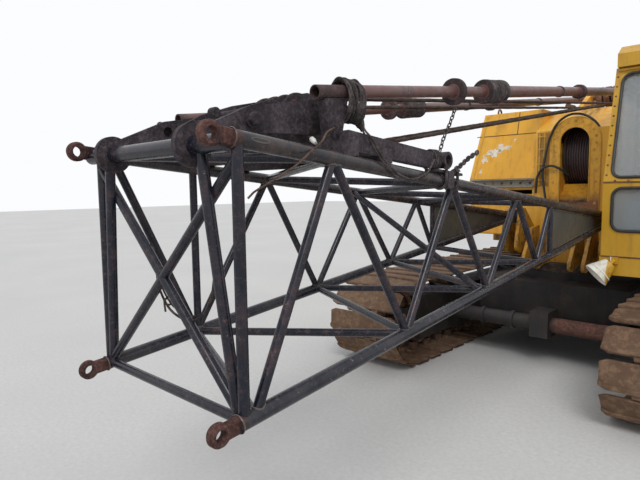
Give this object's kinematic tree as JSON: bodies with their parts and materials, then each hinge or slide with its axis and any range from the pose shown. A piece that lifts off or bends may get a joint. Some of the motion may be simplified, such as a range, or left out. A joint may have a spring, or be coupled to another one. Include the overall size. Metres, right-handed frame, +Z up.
{
  "type": "crawler crane",
  "caption": "Crawler crane with the foot section of its lattice boom lowered level, lattice bridle and backstop tubes on top, worn yellow house and cab on rusty tracks.",
  "frame": {"origin": "under the middle of the machine's overall box, on the ground", "axes": "the crane faces -Y, its left side with the cab is +X, +Z is up"},
  "size_m": [3.34, 8.643, 3.06],
  "materials": {
    "painted_frame": "worn semi-gloss",
    "rusty_steel": "rough rust",
    "machined_steel": "dull, greasy",
    "track_steel": "dry rust and dust",
    "cast_steel": "rough cast",
    "yellow_paint": "faded, scratched",
    "grey_iron": "oily",
    "greased_rope": "matte grease",
    "white_enamel": "satin, stained",
    "cab_glazing": "clear, dusty",
    "black_vinyl": "worn satin",
    "grey_plastic": "matte",
    "boom_paint": "worn, chipped to rust",
    "plate_paint": "faded satin",
    "tube_paint": "worn, rust spots"
  },
  "bodies": {
    "undercarriage": {"car_body": "painted_frame", "propel_shafts": "rusty_steel", "slewing_ring": "machined_steel", "side_frames": "painted_frame", "track_left": "track_steel", "track_right": "track_steel", "sprockets": "cast_steel", "idlers": "cast_steel", "track_rollers": "cast_steel"},
    "upper": {"revolving_frame": "yellow_paint", "boom_foot_pins": "machined_steel", "counterweight": "yellow_paint", "house_shell": "yellow_paint", "drum_guard": "yellow_paint", "engine_block": "grey_iron", "gantry": "yellow_paint", "gantry_head": "rusty_steel", "exhaust": "rusty_steel", "work_lamp": "white_enamel", "cab_shell": "yellow_paint", "cab_glass": "cab_glazing", "seat": "black_vinyl", "controls": "grey_plastic"},
    "drum": {"main_drum": "greased_rope"},
    "cab_door": {"cab_door": "yellow_paint", "cab_door_glass": "cab_glazing"},
    "house_door_front": {"house_door_front": "yellow_paint"},
    "house_door_rear": {"house_door_rear": "yellow_paint"},
    "house_door_left": {"house_door_left": "yellow_paint"},
    "boom": {"chord_top_left": "boom_paint", "chord_top_right": "boom_paint", "chord_bottom_left": "boom_paint", "chord_bottom_right": "boom_paint", "lacing_left": "boom_paint", "lacing_right": "boom_paint", "lacing_top": "boom_paint", "lacing_bottom": "boom_paint", "end_frame": "boom_paint", "foot_plates": "plate_paint", "bridle_plates": "rusty_steel", "bridle_sheaves": "rusty_steel"},
    "backstop_left": {"backstop_tube_left": "tube_paint"},
    "backstop_right": {"backstop_tube_right": "tube_paint"},
    "backstop_rod_left": {"backstop_rod_left": "tube_paint"},
    "backstop_rod_right": {"backstop_rod_right": "tube_paint"}
  },
  "joints": [
    {"name": "slew", "type": "hinge", "parent": "undercarriage", "child": "upper", "pos_m": [0, 1.1715, 0.95], "axis": [0, 0, 1], "continuous": true},
    {"name": "boom_hoist", "type": "hinge", "parent": "upper", "child": "boom", "pos_m": [0, 0.5215, 1.45], "axis": [-1, 0, 0], "range_deg": [0, 80]},
    {"name": "backstop_left", "type": "hinge", "parent": "upper", "child": "backstop_left", "pos_m": [0.4, 2.4215, 2.93], "axis": [-1, 0, 0], "range_deg": [0, 64.5]},
    {"name": "backstop_right", "type": "hinge", "parent": "upper", "child": "backstop_right", "pos_m": [-0.4, 2.4215, 2.93], "axis": [-1, 0, 0], "range_deg": [0, 64.5]},
    {"name": "backstop_slide_left", "type": "slide", "parent": "backstop_left", "child": "backstop_rod_left", "axis": [0, 0.9922, 0.1244], "range_m": [0, 0.305]},
    {"name": "backstop_slide_right", "type": "slide", "parent": "backstop_right", "child": "backstop_rod_right", "axis": [0, 0.9916, 0.129], "range_m": [0, 0.305]},
    {"name": "drum_turn", "type": "hinge", "parent": "upper", "child": "drum", "pos_m": [-0.02, 1.3865, 2.12], "axis": [1, 0, 0], "continuous": true},
    {"name": "cab_door_hinge", "type": "hinge", "parent": "upper", "child": "cab_door", "pos_m": [1.512, 0.4855, 1.9], "axis": [0, 0, 1], "range_deg": [0, 100]},
    {"name": "front_door_hinge", "type": "hinge", "parent": "upper", "child": "house_door_front", "pos_m": [-1.277, 1.1275, 1.6], "axis": [0, 0, 1], "range_deg": [0, 100]},
    {"name": "rear_door_hinge", "type": "hinge", "parent": "upper", "child": "house_door_rear", "pos_m": [-1.277, 3.4355, 1.6], "axis": [0, 0, -1], "range_deg": [0, 100]},
    {"name": "left_door_hinge", "type": "hinge", "parent": "upper", "child": "house_door_left", "pos_m": [1.277, 2.6755, 1.6], "axis": [0, 0, 1], "range_deg": [0, 100]}
  ],
  "couplings": [
    {"joint": "backstop_left", "follows": "boom_hoist", "ratio": 0.8},
    {"joint": "backstop_right", "follows": "boom_hoist", "ratio": 0.8},
    {"joint": "backstop_slide_left", "follows": "boom_hoist", "m_per_rad": 0.2148},
    {"joint": "backstop_slide_right", "follows": "boom_hoist", "m_per_rad": 0.2148}
  ]
}
